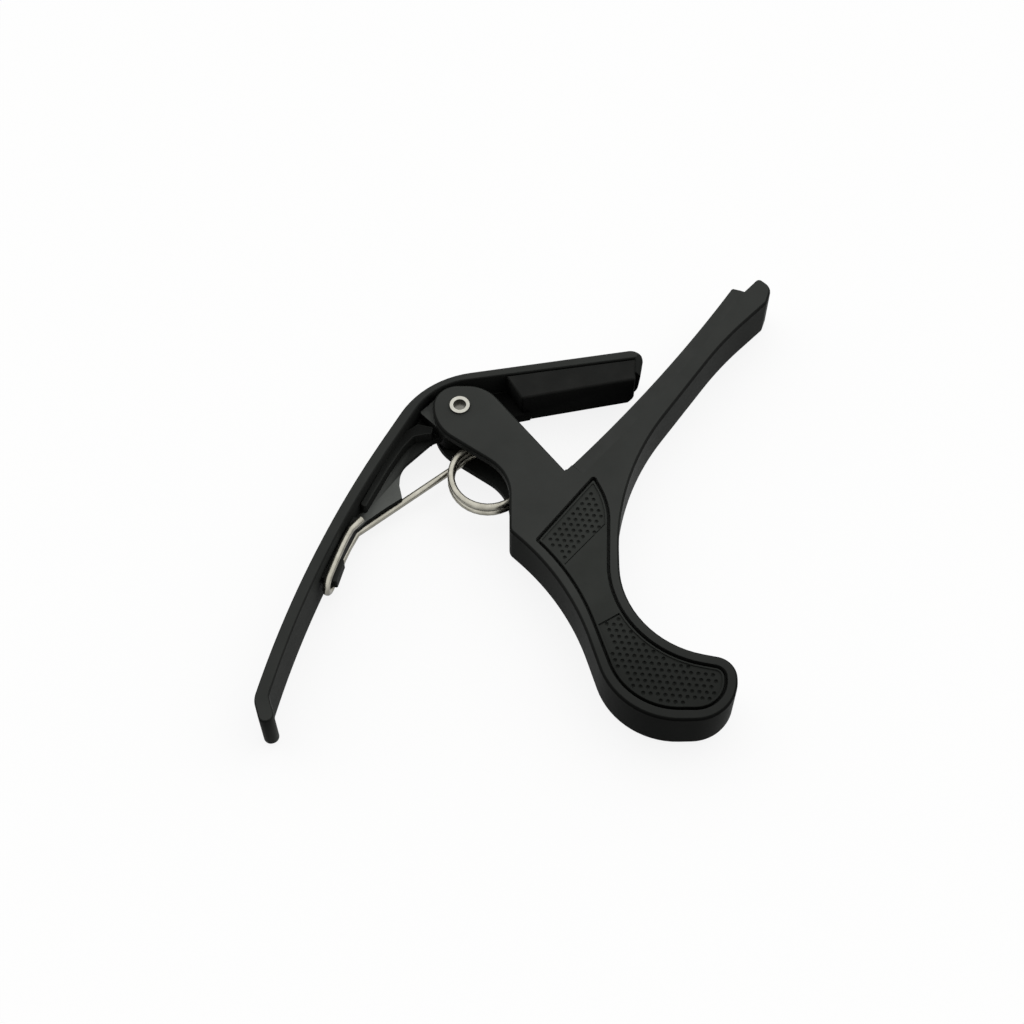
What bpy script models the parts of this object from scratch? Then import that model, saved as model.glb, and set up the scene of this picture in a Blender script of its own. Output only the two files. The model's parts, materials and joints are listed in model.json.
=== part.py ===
# Trigger capo for a guitar, lying on its side on a table.
# A cast lever carries the fret bar and the finger trigger. A cast clamp arm carries the neck jaw and the
# thumb strip. They turn on a tubular rivet, and a wire spring between them holds the jaws shut.
# Every piece is modelled about the rivet's axis, which runs along +Z. Lengths are in metres.

import math

import bmesh
import bpy
from mathutils import Vector

OBJECT_NAME = "guitar_capo"

# Both castings
DEPTH = 0.0100
EDGE_ROUND = 0.0009
EDGE_SEGMENTS = 1
ARC_STEP = math.radians(13)
LONGEST_CHORD = 0.0055
SEAT_GAP = 0.0003
SMOOTH_ANGLE = math.radians(35)

# Fork of the lever
NOSE_RADIUS = 0.0049
SHOULDER_X = 0.0050
SHOULDER_ROUND = 0.0075
CROTCH_X = 0.0207
CROTCH_Y = -0.0152
CROTCH_ROUND = 0.0005
CHEEK_THICKNESS = 0.0019
CHIN_Y = -0.0047
CHIN_ROUND = 0.0090
HUB_X = 0.0098
HUB_Y = -0.0284
HUB_ROUND = 0.0020
ARMPIT_Y = -0.0155
ARMPIT_ROUND = 0.0094

# Fret bar of the lever and the rubber that presses the strings
BAR_ANGLE = math.radians(51.8)
CAMBER_RADIUS = 0.370
STRING_PAD_LENGTH = 0.0547
STRING_PAD_THICKNESS = 0.0026
STRING_PAD_START = 0.0020
STRING_PAD_ROUND = 0.0005
STRING_PAD_INSET = 0.0002
TIP_LENGTH = 0.0049
TIP_WIDTH = 0.0046
TIP_ROUND = 0.0030
TIP_CORNER_ROUND = 0.0013
TIP_HEEL_DROP = 0.0042
BAR_WAIST_ALONG = 0.0445
BAR_WAIST_WIDTH = 0.0062
BAR_WAIST_ROUND = 0.080

# Finger trigger of the lever
HOLLOW_X = 0.0298
HOLLOW_TOP_Y = -0.0160
HOLLOW_LOW_Y = -0.0513
HOLLOW_TOP_ROUND = 0.049
HOLLOW_LOW_ROUND = 0.0185
TRIGGER_REACH = 0.0510
TRIGGER_END_Y = -0.0556
TRIGGER_END_ROUND = 0.0042
TRIGGER_DROP = 0.0675
TRIGGER_TOE_ROUND = 0.0080
HEEL_X = 0.0293
HEEL_ROUND = 0.0150
WAIST_X = 0.0206
WAIST_Y = -0.0392
WAIST_ROUND = 0.050

# Grip panels let into both faces of the trigger
PANEL_RIM = 0.0019
PANEL_SETBACK = 0.0048
PANEL_APEX_INSET = 0.0037
PANEL_CORNER_ROUND = 0.0006
PANEL_SHOULDER_ROUND = 0.025
PANEL_SHOULDER_DROP = 0.0083
RECESS_DEPTH = 0.0011
INLAY_THICKNESS = 0.0007
INLAY_EDGE = 0.0002

# Jaw plate of the clamp arm and the rubber that bears on the neck
JAW_ANGLE = math.radians(9.1)
JAW_HEIGHT = 0.00755
JAW_REACH = 0.0373
JAW_PLATE = 0.0017
JAW_TIP_ROUND = 0.0024
LIP_THICKNESS = 0.0017
LIP_DROP = 0.0054
LIP_SLANT = 0.0013
CORNER_ROUND = 0.0190
NECK_PAD_START = 0.0103
NECK_PAD_SLANT = 0.0024
NECK_PAD_THICKNESS = 0.0045
NECK_PAD_INSET = 0.0014
NECK_PAD_ROUND = 0.0006

# Thumb strip of the clamp arm
STRIP_TOP_X = -0.0143
STRIP_TOP_Y = -0.0067
STRIP_ANGLE = math.radians(241.6)
STRIP_RADIUS = 0.2334
STRIP_LENGTH = 0.0610
STRIP_THICKNESS = 0.0022
TOE_BEND = math.radians(32)
TOE_BEND_ROUND = 0.0044
TOE_BLEND = 0.0030
TOE_LENGTH = 0.0050
TOE_ROUND = 0.0011
SPINE_EDGE = 0.0005

# Pivot lug, stiffening rib and web of the clamp arm
LUG_CORNER_X = -0.0080
LUG_CORNER_Y = 0.0006
LUG_CORNER_ROUND = 0.0003
LUG_FLANK_X = 0.0066
LUG_TOE_X = 0.0040
LUG_HEEL_X = -0.0022
LUG_DROP = 0.0052
LUG_ROUND = 0.0027
WEB_THICKNESS = 0.0024
WEB_HEIGHT = 0.0023
RIB_DEPTH = 0.0084
RIB_WIDTH = 0.0016
RIB_LENGTH = 0.0150
RIB_BLEND = 0.0050
RIB_START_X = -0.0074
RIB_START_Y = -0.0062
RIB_BEND_X = -0.0100
RIB_BEND_Y = -0.0086
RIB_BEND_ROUND = 0.0045
ROOT_OVERLAP = 0.0009

# Wire spring
WIRE_RADIUS = 0.00065
COIL_RADIUS = 0.0071
COIL_X = 0.0055
COIL_Y = -0.0138
COIL_PITCH = 0.0018
COIL_EXTRA_TURNS = 2
COIL_END_ANGLE = 0.0
POINTS_PER_TURN = 10
TAIL_STEPS = 4
FOOT_STEPS = 5
HAIRPIN_STEPS = 6
LEG_STEPS = 8
SHORT_LEG_STEPS = 3
SHORT_LEG = 0.0125
FOOT_START = 0.0190
FOOT_BEND = 0.0225
FOOT_END = 0.0332
HAIRPIN_RETURN = 0.0125
HAIRPIN_TAIL = 0.0030
HAIRPIN_TAIL_BEND = math.radians(18)
SELF_GAP_LEAST = 0.0004

# Tubular rivet
RIVET_RADIUS = 0.0016
RIVET_BORE = 0.00095
RIVET_HEAD_RADIUS = 0.0023
RIVET_HEAD = 0.0006
RIVET_HEAD_ROUND = 0.00025
RIVET_SINK = 0.0002
ROUND_SIDES = 32

MID = DEPTH / 2
THROUGH = DEPTH * 2
SLOT_WIDTH = DEPTH - 2 * CHEEK_THICKNESS
LUG_THICKNESS = SLOT_WIDTH - 2 * SEAT_GAP
STRAND_RISE = WEB_THICKNESS / 2 + SEAT_GAP + WIRE_RADIUS
WEB_LENGTH = FOOT_END - STRAND_RISE


def heading(angle):
    return Vector((math.cos(angle), math.sin(angle)))


def direction(vector):
    return math.atan2(vector.y, vector.x)


def crossing(point, angle, other, other_angle):
    run = heading(angle)
    other_run = heading(other_angle)
    return point + run * ((other - point).cross(other_run) / run.cross(other_run))


def turned(vector, angle):
    c = math.cos(angle)
    s = math.sin(angle)
    return Vector((vector.x * c - vector.y * s, vector.x * s + vector.y * c))


def corner_turns(points):
    turns = []
    for i, point in enumerate(points):
        before = point - points[i - 1]
        after = points[(i + 1) % len(points)] - point
        turns.append(math.atan2(before.cross(after), before.dot(after)))
    return turns


def rounded(corners):
    # A closed outline through corners, each a point and its fillet radius, limited by the sides beside it.
    points = [Vector(corner[0]) for corner in corners]
    count = len(points)
    turns = corner_turns(points)
    tangents = [corners[i][1] * math.tan(abs(turns[i]) / 2) for i in range(count)]
    limits = [1.0] * count
    for i in range(count):
        j = (i + 1) % count
        room = (points[j] - points[i]).length
        need = tangents[i] + tangents[j]
        if need > room:
            limits[i] = min(limits[i], room / need)
            limits[j] = min(limits[j], room / need)
    outline = []
    for i in range(count):
        radius = corners[i][1] * limits[i]
        back = (points[i - 1] - points[i]).normalized()
        start = points[i] + back * (tangents[i] * limits[i])
        by_length = abs(turns[i]) * radius / LONGEST_CHORD
        steps = math.ceil(max(abs(turns[i]) / ARC_STEP, by_length)) if radius > 0 else 0
        side = Vector((back.y, -back.x)) * math.copysign(radius, turns[i])
        for k in range(steps + 1):
            outline.append(start + side - turned(side, turns[i] * k / max(1, steps)))
    return [p for i, p in enumerate(outline) if (p - outline[i - 1]).length > 1e-6]


def inset(corners, distance):
    # The same outline with every side moved inwards, so that its fillets stay concentric.
    points = [Vector(corner[0]) for corner in corners]
    turns = corner_turns(points)
    sense = math.copysign(1.0, sum(turns))
    moved = []
    for i, point in enumerate(points):
        before = (point - points[i - 1]).normalized()
        after = (points[(i + 1) % len(points)] - point).normalized()
        normals = [Vector((-run.y, run.x)) * sense for run in (before, after)]
        shift = (normals[0] + normals[1]) * (distance / (1 + normals[0].dot(normals[1])))
        convex = turns[i] * sense > 0
        radius = corners[i][1] - distance if convex else corners[i][1] + distance
        moved.append((point + shift, max(radius, 0.0)))
    return moved


def material(name, colour, roughness, metallic):
    made = bpy.data.materials.new(name)
    made.use_nodes = True
    shader = made.node_tree.nodes["Principled BSDF"]
    shader.inputs["Base Color"].default_value = (*colour, 1.0)
    shader.inputs["Roughness"].default_value = roughness
    shader.inputs["Metallic"].default_value = metallic
    return made


def solid_from_curve(curve_object, name, collection):
    # The evaluated curve as a closed mesh, with its loose caps welded on.
    bpy.context.scene.collection.objects.link(curve_object)
    bpy.context.view_layer.update()
    evaluated = curve_object.evaluated_get(bpy.context.evaluated_depsgraph_get())
    mesh = bpy.data.meshes.new_from_object(evaluated)
    mesh.name = name
    work = bmesh.new()
    work.from_mesh(mesh)
    bmesh.ops.remove_doubles(work, verts=work.verts, dist=1e-6)
    bmesh.ops.recalc_face_normals(work, faces=work.faces)
    work.to_mesh(mesh)
    work.free()
    made = bpy.data.objects.new(name, mesh)
    made.matrix_world = curve_object.matrix_world.copy()
    collection.objects.link(made)
    curve_data = curve_object.data
    bpy.data.objects.remove(curve_object)
    bpy.data.curves.remove(curve_data)
    return made


def slab(name, outline, low, high, edge, collection):
    # A flat outline between two heights, with rounded rims where edge is not zero.
    curve = bpy.data.curves.new(name, "CURVE")
    curve.dimensions = "2D"
    curve.fill_mode = "BOTH"
    curve.extrude = (high - low) / 2 - edge
    curve.bevel_depth = edge
    curve.bevel_resolution = EDGE_SEGMENTS
    curve.offset = -edge
    spline = curve.splines.new("POLY")
    spline.points.add(len(outline) - 1)
    for knot, point in zip(spline.points, outline):
        knot.co = (point.x, point.y, 0.0, 1.0)
    spline.use_cyclic_u = True
    made = bpy.data.objects.new(name + "_outline", curve)
    made.location = (0.0, 0.0, (low + high) / 2)
    return solid_from_curve(made, name, collection)


def wire(name, path, radius, collection):
    curve = bpy.data.curves.new(name, "CURVE")
    curve.dimensions = "3D"
    curve.bevel_depth = radius
    curve.bevel_resolution = 1
    curve.use_fill_caps = True
    spline = curve.splines.new("POLY")
    spline.points.add(len(path) - 1)
    for knot, point in zip(spline.points, path):
        knot.co = (*point, 1.0)
    return solid_from_curve(bpy.data.objects.new(name + "_path", curve), name, collection)


def turned_solid(name, profile, collection):
    # A closed profile of radius and height swept round the rivet's axis.
    mesh = bpy.data.meshes.new(name)
    edges = [(i, (i + 1) % len(profile)) for i in range(len(profile))]
    mesh.from_pydata([(r, 0.0, z) for r, z in profile], edges, [])
    made = bpy.data.objects.new(name, mesh)
    collection.objects.link(made)
    screw = made.modifiers.new("turn", "SCREW")
    screw.steps = ROUND_SIDES
    screw.render_steps = ROUND_SIDES
    screw.use_merge_vertices = True
    screw.merge_threshold = 1e-6
    return made


def drum(name, radius, low, high, collection):
    mesh = bpy.data.meshes.new(name)
    work = bmesh.new()
    bmesh.ops.create_cone(work, cap_ends=True, segments=ROUND_SIDES, radius1=radius, radius2=radius,
                          depth=high - low)
    bmesh.ops.translate(work, verts=work.verts, vec=(0.0, 0.0, (low + high) / 2))
    work.to_mesh(mesh)
    work.free()
    made = bpy.data.objects.new(name, mesh)
    collection.objects.link(made)
    return made


def combine(body, other, operation):
    step = body.modifiers.new(other.name, "BOOLEAN")
    step.operation = operation
    step.solver = "EXACT"
    step.object = other
    other.hide_render = True
    other.display_type = "WIRE"


def finish(body, parent, skin):
    body.data.shade_smooth()
    body.data.set_sharp_from_angle(angle=SMOOTH_ANGLE)
    body.data.materials.append(skin)
    body.parent = parent


# Outline of the lever

def bar_frame():
    # Crotch of the jaws, the bar's headings at both ends of its camber, and the half turn between them.
    half = math.asin(STRING_PAD_LENGTH / 2 / CAMBER_RADIUS)
    return Vector((CROTCH_X, CROTCH_Y)), BAR_ANGLE - half, BAR_ANGLE + half, half


def pad_face(depth, start_slack, end_slack):
    # Start, middle corner and end of a line at a depth behind the string pad's pressing face.
    crotch, root, tip, half = bar_frame()
    behind = Vector((math.sin(BAR_ANGLE), -math.cos(BAR_ANGLE)))
    first = crotch + heading(root) * (STRING_PAD_START - start_slack)
    first = first + heading(root - math.pi / 2) * depth
    reach = CAMBER_RADIUS * math.tan(half)
    middle = crotch + heading(root) * (STRING_PAD_START + reach) + behind * (depth / math.cos(half))
    last = middle + heading(tip) * (reach + depth * math.tan(half) + end_slack)
    return first, middle, last


def lever_corners():
    crotch, root, tip, half = bar_frame()
    seat = STRING_PAD_THICKNESS + SEAT_GAP
    ledge = crotch + heading(root) * (STRING_PAD_START - SEAT_GAP)
    seat_start, seat_middle, seat_end = pad_face(seat, SEAT_GAP, TIP_LENGTH)
    across = heading(tip - math.pi / 2)
    tip_outer = seat_end + across * TIP_WIDTH
    heel = tip_outer - heading(tip) * TIP_HEEL_DROP
    bar_waist = crotch + heading(BAR_ANGLE) * BAR_WAIST_ALONG
    bar_waist = bar_waist + heading(BAR_ANGLE - math.pi / 2) * BAR_WAIST_WIDTH
    return {
        "nose": ((-NOSE_RADIUS, NOSE_RADIUS), NOSE_RADIUS),
        "shoulder": ((SHOULDER_X, NOSE_RADIUS), SHOULDER_ROUND),
        "crotch": (crotch, CROTCH_ROUND),
        "ledge": (ledge, 0.0),
        "seat_start": (seat_start, 0.0),
        "seat_middle": (seat_middle, CAMBER_RADIUS + seat),
        "tip_inner": (seat_end, TIP_CORNER_ROUND),
        "tip_outer": (tip_outer, TIP_ROUND),
        "tip_heel": (heel, TIP_CORNER_ROUND),
        "bar_waist": (bar_waist, BAR_WAIST_ROUND),
        "hollow_top": ((HOLLOW_X, HOLLOW_TOP_Y), HOLLOW_TOP_ROUND),
        "hollow_low": ((HOLLOW_X, HOLLOW_LOW_Y), HOLLOW_LOW_ROUND),
        "trigger_end": ((TRIGGER_REACH, TRIGGER_END_Y), TRIGGER_END_ROUND),
        "trigger_toe": ((TRIGGER_REACH, -TRIGGER_DROP), TRIGGER_TOE_ROUND),
        "heel": ((HEEL_X, -TRIGGER_DROP), HEEL_ROUND),
        "waist": ((WAIST_X, WAIST_Y), WAIST_ROUND),
        "hub": ((HUB_X, HUB_Y), HUB_ROUND),
        "armpit": ((HUB_X, ARMPIT_Y), ARMPIT_ROUND),
        "chin": ((-NOSE_RADIUS, CHIN_Y), CHIN_ROUND),
    }


def panel_corners():
    # The trigger's outline less its rim, closed by a straight edge parallel to the fret bar.
    corners = lever_corners()
    names = list(corners)
    inner = dict(zip(names, inset(list(corners.values()), PANEL_RIM)))
    crotch = Vector(corners["crotch"][0])
    cut = crotch + heading(BAR_ANGLE - math.pi / 2) * PANEL_SETBACK
    side = inner["hollow_low"][0]
    left = crossing(cut, BAR_ANGLE, inner["waist"][0], direction(inner["hub"][0] - inner["waist"][0]))
    apex_line = Vector((HOLLOW_X - PANEL_APEX_INSET, 0.0))
    apex = crossing(cut, BAR_ANGLE, apex_line, math.pi / 2)
    shoulder = Vector((side.x, apex.y - PANEL_SHOULDER_DROP))
    return [
        (apex, PANEL_CORNER_ROUND),
        (shoulder, PANEL_SHOULDER_ROUND),
        inner["hollow_low"],
        inner["trigger_end"],
        inner["trigger_toe"],
        inner["heel"],
        inner["waist"],
        (left, PANEL_CORNER_ROUND),
    ]


def slot_outline():
    # The space between the cheeks: round the lug, past the coil, and down beside its short leg.
    corners = lever_corners()
    shoulder = Vector(corners["shoulder"][0])
    crotch = Vector(corners["crotch"][0])
    slope = direction(crotch - shoulder)
    coil = Vector((COIL_X, COIL_Y))
    reach = COIL_RADIUS + WIRE_RADIUS + SEAT_GAP
    roof = coil + heading(slope + math.pi / 2) * reach
    stop_x = LUG_FLANK_X + SEAT_GAP
    wall_x = COIL_X + reach
    leg_x = COIL_X + COIL_RADIUS - WIRE_RADIUS - SEAT_GAP
    leg_low = COIL_Y - SHORT_LEG - SEAT_GAP
    floor = COIL_Y - reach
    outside = LUG_CORNER_X - DEPTH
    return [
        Vector((outside, NOSE_RADIUS + DEPTH)),
        Vector((stop_x, NOSE_RADIUS + DEPTH)),
        crossing(Vector((stop_x, 0.0)), math.pi / 2, roof, slope),
        crossing(Vector((wall_x, 0.0)), math.pi / 2, roof, slope),
        Vector((wall_x, leg_low)),
        Vector((leg_x, leg_low)),
        Vector((leg_x, floor)),
        Vector((outside, floor)),
    ]


# Outline of the clamp arm

def strip_point(along, depth):
    # A point along the strip's arc, at a depth inside its outer face.
    centre = Vector((STRIP_TOP_X, STRIP_TOP_Y)) + heading(STRIP_ANGLE + math.pi / 2) * STRIP_RADIUS
    return centre + heading(strip_heading(along) - math.pi / 2) * (STRIP_RADIUS - depth)


def strip_heading(along):
    return STRIP_ANGLE + along / STRIP_RADIUS


def strip_line(start, stop, depth):
    steps = math.ceil(abs(stop - start) / LONGEST_CHORD)
    return [strip_point(start + (stop - start) * k / steps, depth) for k in range(steps + 1)]


def jaw_point(along, drop):
    # A point along the jaw plate, at a drop below its outer face.
    return heading(JAW_ANGLE) * along + heading(JAW_ANGLE + math.pi / 2) * (JAW_HEIGHT - drop)


def spine_corners():
    top = strip_point(0.0, 0.0)
    inner_top = strip_point(0.0, STRIP_THICKNESS)
    corner = crossing(jaw_point(0.0, 0.0), JAW_ANGLE, top, STRIP_ANGLE)
    inner_corner = crossing(jaw_point(0.0, JAW_PLATE), JAW_ANGLE, inner_top, STRIP_ANGLE)
    toe_run = heading(strip_heading(STRIP_LENGTH) + TOE_BEND)
    toe_side = Vector((-toe_run.y, toe_run.x)) * STRIP_THICKNESS
    bend = strip_point(STRIP_LENGTH, 0.0)
    inner_bend = crossing(bend + toe_side, direction(toe_run), strip_point(STRIP_LENGTH, STRIP_THICKNESS),
                          strip_heading(STRIP_LENGTH))
    toe = bend + toe_run * TOE_LENGTH
    lip_in = JAW_REACH - LIP_THICKNESS
    corners = [
        (jaw_point(JAW_REACH, 0.0), JAW_TIP_ROUND),
        (corner, CORNER_ROUND),
    ]
    corners += [(point, 0.0) for point in strip_line(0.0, STRIP_LENGTH - TOE_BLEND, 0.0)]
    corners += [
        (bend, TOE_BEND_ROUND),
        (toe, TOE_ROUND),
        (toe + toe_side, TOE_ROUND),
        (inner_bend, max(TOE_BEND_ROUND - STRIP_THICKNESS, 0.0)),
    ]
    corners += [(point, 0.0) for point in strip_line(STRIP_LENGTH - TOE_BLEND, 0.0, STRIP_THICKNESS)]
    corners += [
        (inner_corner, CORNER_ROUND - STRIP_THICKNESS),
        (jaw_point(lip_in, JAW_PLATE), 0.0),
        (jaw_point(lip_in, LIP_DROP), 0.0),
        (jaw_point(JAW_REACH - LIP_SLANT, LIP_DROP), 0.0),
        (jaw_point(JAW_REACH, LIP_DROP - LIP_SLANT), 0.0),
    ]
    return corners


def lug_corners():
    flank_top = jaw_point(LUG_FLANK_X, JAW_PLATE - ROOT_OVERLAP)
    left_top = jaw_point(LUG_CORNER_X / 2, JAW_PLATE - ROOT_OVERLAP)
    return [
        ((LUG_CORNER_X, LUG_CORNER_Y), LUG_CORNER_ROUND),
        (left_top, 0.0),
        (flank_top, 0.0),
        ((LUG_FLANK_X, 0.0), LUG_ROUND),
        ((LUG_TOE_X, -LUG_DROP), LUG_ROUND),
        ((LUG_HEEL_X, -LUG_DROP), LUG_ROUND),
    ]


def web_corners():
    inner = STRIP_THICKNESS + WEB_HEIGHT
    buried = STRIP_THICKNESS - ROOT_OVERLAP
    corners = [
        ((RIB_START_X, RIB_START_Y), 0.0),
        ((RIB_BEND_X, RIB_BEND_Y), RIB_BEND_ROUND),
    ]
    corners += [(point, 0.0) for point in strip_line(RIB_BLEND, WEB_LENGTH, inner)]
    corners += [(point, 0.0) for point in strip_line(WEB_LENGTH, 0.0, buried)]
    corners += [
        (jaw_point(LUG_CORNER_X, JAW_PLATE - ROOT_OVERLAP / 2), CORNER_ROUND / 2),
        (jaw_point(0.0, JAW_PLATE - ROOT_OVERLAP / 2), 0.0),
        ((0.0, 0.0), 0.0),
    ]
    return corners


def rib_corners():
    inner = STRIP_THICKNESS + WEB_HEIGHT
    outer = inner - RIB_WIDTH
    start = Vector((RIB_START_X, RIB_START_Y))
    bend = Vector((RIB_BEND_X, RIB_BEND_Y))
    lean = direction(bend - start) - math.pi / 2
    back = heading(lean) * RIB_WIDTH
    outer_bend = crossing(start + back, lean + math.pi / 2, strip_point(RIB_BLEND, outer), strip_heading(RIB_BLEND))
    corners = [
        (start, 0.0),
        (bend, RIB_BEND_ROUND),
    ]
    corners += [(point, 0.0) for point in strip_line(RIB_BLEND, RIB_LENGTH, inner)]
    corners += [(point, 0.0) for point in strip_line(RIB_LENGTH, RIB_BLEND, outer)]
    corners += [
        (outer_bend, max(RIB_BEND_ROUND - RIB_WIDTH, 0.0)),
        (start + back, 0.0),
    ]
    return corners


# Path of the spring

def least_self_gap(path, radius):
    # Least distance between wire surfaces, over points further apart along the wire than half a turn.
    skip = POINTS_PER_TURN // 2
    least = math.inf
    for i in range(len(path)):
        for j in range(i + skip, len(path)):
            least = min(least, (path[j] - path[i]).length)
    return least - 2 * radius


def spring_path():
    coil = Vector((COIL_X, COIL_Y))
    beside = STRIP_THICKNESS + SEAT_GAP + WIRE_RADIUS
    low = MID - STRAND_RISE
    high = MID + STRAND_RISE

    # Tangent from the start of the foot to the rear turn of the coil.
    foot = strip_point(FOOT_START, beside + WIRE_RADIUS)
    away = foot - coil
    start_angle = direction(away) - math.acos(COIL_RADIUS / away.length)
    sweep = (start_angle - COIL_END_ANGLE) % (2 * math.pi) + 2 * math.pi * COIL_EXTRA_TURNS
    climb = COIL_PITCH * sweep / (2 * math.pi)
    coil_low = MID - climb / 2

    path = []
    tail_start = FOOT_END - HAIRPIN_RETURN
    tail_run = heading(strip_heading(tail_start) + math.pi - HAIRPIN_TAIL_BEND)
    for k in range(TAIL_STEPS, 0, -1):
        point = strip_point(tail_start, beside) + tail_run * (HAIRPIN_TAIL * k / TAIL_STEPS)
        path.append(Vector((point.x, point.y, high)))
    for k in range(FOOT_STEPS + 1):
        point = strip_point(tail_start + (WEB_LENGTH - tail_start) * k / FOOT_STEPS, beside)
        path.append(Vector((point.x, point.y, high)))
    for k in range(1, HAIRPIN_STEPS):
        angle = math.pi * k / HAIRPIN_STEPS
        point = strip_point(WEB_LENGTH + STRAND_RISE * math.sin(angle), beside)
        path.append(Vector((point.x, point.y, MID + STRAND_RISE * math.cos(angle))))
    for k in range(FOOT_STEPS):
        point = strip_point(WEB_LENGTH + (FOOT_BEND - WEB_LENGTH) * k / (FOOT_STEPS - 1), beside)
        path.append(Vector((point.x, point.y, low)))
    touch = coil + heading(start_angle) * COIL_RADIUS
    for k in range(LEG_STEPS):
        share = k / LEG_STEPS
        point = foot.lerp(touch, share)
        path.append(Vector((point.x, point.y, low + (coil_low - low) * share)))
    steps = math.ceil(sweep / (2 * math.pi) * POINTS_PER_TURN)
    for k in range(steps + 1):
        share = k / steps
        point = coil + heading(start_angle - sweep * share) * COIL_RADIUS
        path.append(Vector((point.x, point.y, coil_low + climb * share)))
    end = path[-1]
    leg_run = heading(COIL_END_ANGLE - math.pi / 2)
    for k in range(1, SHORT_LEG_STEPS + 1):
        step = leg_run * (SHORT_LEG * k / SHORT_LEG_STEPS)
        path.append(end + Vector((step.x, step.y, 0.0)))
    return path


# Pieces

def build_lever(parts, cutters):
    body = slab("trigger_lever", rounded(list(lever_corners().values())), 0.0, DEPTH, EDGE_ROUND, parts)
    slot = slab("fork_slot", slot_outline(), CHEEK_THICKNESS, DEPTH - CHEEK_THICKNESS, 0.0, cutters)
    combine(body, slot, "DIFFERENCE")
    panel = rounded(panel_corners())
    front = slab("front_recess", panel, DEPTH - RECESS_DEPTH, DEPTH + RECESS_DEPTH, 0.0, cutters)
    rear = slab("rear_recess", panel, -RECESS_DEPTH, RECESS_DEPTH, 0.0, cutters)
    combine(body, front, "DIFFERENCE")
    combine(body, rear, "DIFFERENCE")
    combine(body, drum("lever_bore", RIVET_RADIUS + SEAT_GAP, -THROUGH, THROUGH, cutters), "DIFFERENCE")
    sink = RIVET_SINK + RIVET_HEAD + SEAT_GAP
    pocket = drum("rivet_pocket", RIVET_HEAD_RADIUS + SEAT_GAP, -sink, sink, cutters)
    combine(body, pocket, "DIFFERENCE")
    return body


def build_inlay(name, low, parts):
    outline = rounded(inset(panel_corners(), SEAT_GAP))
    return slab(name, outline, low, low + INLAY_THICKNESS, INLAY_EDGE, parts)


def build_string_pad(parts):
    face_start, face_middle, face_end = pad_face(0.0, 0.0, 0.0)
    back_start, back_middle, back_end = pad_face(STRING_PAD_THICKNESS, 0.0, 0.0)
    outline = rounded([
        (face_start, 0.0),
        (face_middle, CAMBER_RADIUS),
        (face_end, STRING_PAD_ROUND),
        (back_end, 0.0),
        (back_middle, CAMBER_RADIUS + STRING_PAD_THICKNESS),
        (back_start, 0.0),
    ])
    return slab("string_pad", outline, STRING_PAD_INSET, DEPTH - STRING_PAD_INSET, STRING_PAD_ROUND, parts)


def build_arm(parts, cutters):
    body = slab("clamp_arm", rounded(spine_corners()), 0.0, DEPTH, SPINE_EDGE, parts)
    web = slab("arm_web", rounded(web_corners()), MID - WEB_THICKNESS / 2, MID + WEB_THICKNESS / 2, 0.0, cutters)
    lug = slab("arm_lug", rounded(lug_corners()), MID - LUG_THICKNESS / 2, MID + LUG_THICKNESS / 2, 0.0, cutters)
    rib = slab("arm_rib", rounded(rib_corners()), MID - RIB_DEPTH / 2, MID + RIB_DEPTH / 2, 0.0, cutters)
    for piece in (web, lug, rib):
        combine(body, piece, "UNION")
    combine(body, drum("arm_bore", RIVET_RADIUS + SEAT_GAP, -THROUGH, THROUGH, cutters), "DIFFERENCE")
    return body


def build_neck_pad(parts):
    back = JAW_PLATE + SEAT_GAP
    face = back + NECK_PAD_THICKNESS
    end = JAW_REACH - LIP_THICKNESS - SEAT_GAP
    outline = rounded([
        (jaw_point(NECK_PAD_START, back), 0.0),
        (jaw_point(end, back), 0.0),
        (jaw_point(end, face), NECK_PAD_ROUND),
        (jaw_point(NECK_PAD_START + NECK_PAD_SLANT, face), NECK_PAD_ROUND),
    ])
    return slab("neck_pad", outline, NECK_PAD_INSET, DEPTH - NECK_PAD_INSET, NECK_PAD_ROUND, parts)


def build_spring(parts):
    path = spring_path()
    gap = least_self_gap(path, WIRE_RADIUS)
    print(f"torsion_spring least gap to itself {gap * 1000:.2f} mm, wanted over {SELF_GAP_LEAST * 1000:.2f} mm")
    return wire("torsion_spring", path, WIRE_RADIUS, parts)


def build_rivet(parts):
    top = DEPTH + SEAT_GAP
    crown = top + RIVET_HEAD
    base = RIVET_SINK
    seat = base + RIVET_HEAD
    profile = [
        (RIVET_BORE, crown),
        (RIVET_HEAD_RADIUS - RIVET_HEAD_ROUND, crown),
        (RIVET_HEAD_RADIUS, crown - RIVET_HEAD_ROUND),
        (RIVET_HEAD_RADIUS, top),
        (RIVET_RADIUS, top),
        (RIVET_RADIUS, seat),
        (RIVET_HEAD_RADIUS, seat),
        (RIVET_HEAD_RADIUS, base + RIVET_HEAD_ROUND),
        (RIVET_HEAD_RADIUS - RIVET_HEAD_ROUND, base),
        (RIVET_BORE, base),
    ]
    return turned_solid("pivot_rivet", profile, parts)


def centre_on_table(frame, parts):
    # The lever's broad face lies at height zero; the whole outline is centred over the origin.
    bpy.context.view_layer.update()
    graph = bpy.context.evaluated_depsgraph_get()
    spots = []
    for piece in parts.objects:
        if piece.type == "MESH":
            shown = piece.evaluated_get(graph)
            spots += [shown.matrix_world @ Vector(corner) for corner in shown.bound_box]
    middle_x = (min(s.x for s in spots) + max(s.x for s in spots)) / 2
    middle_y = (min(s.y for s in spots) + max(s.y for s in spots)) / 2
    frame.location = (-middle_x, -middle_y, 0.0)
    bpy.context.view_layer.update()
    print(f"pivot axis at x {-middle_x * 1000:.3f} mm, y {-middle_y * 1000:.3f} mm")


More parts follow.
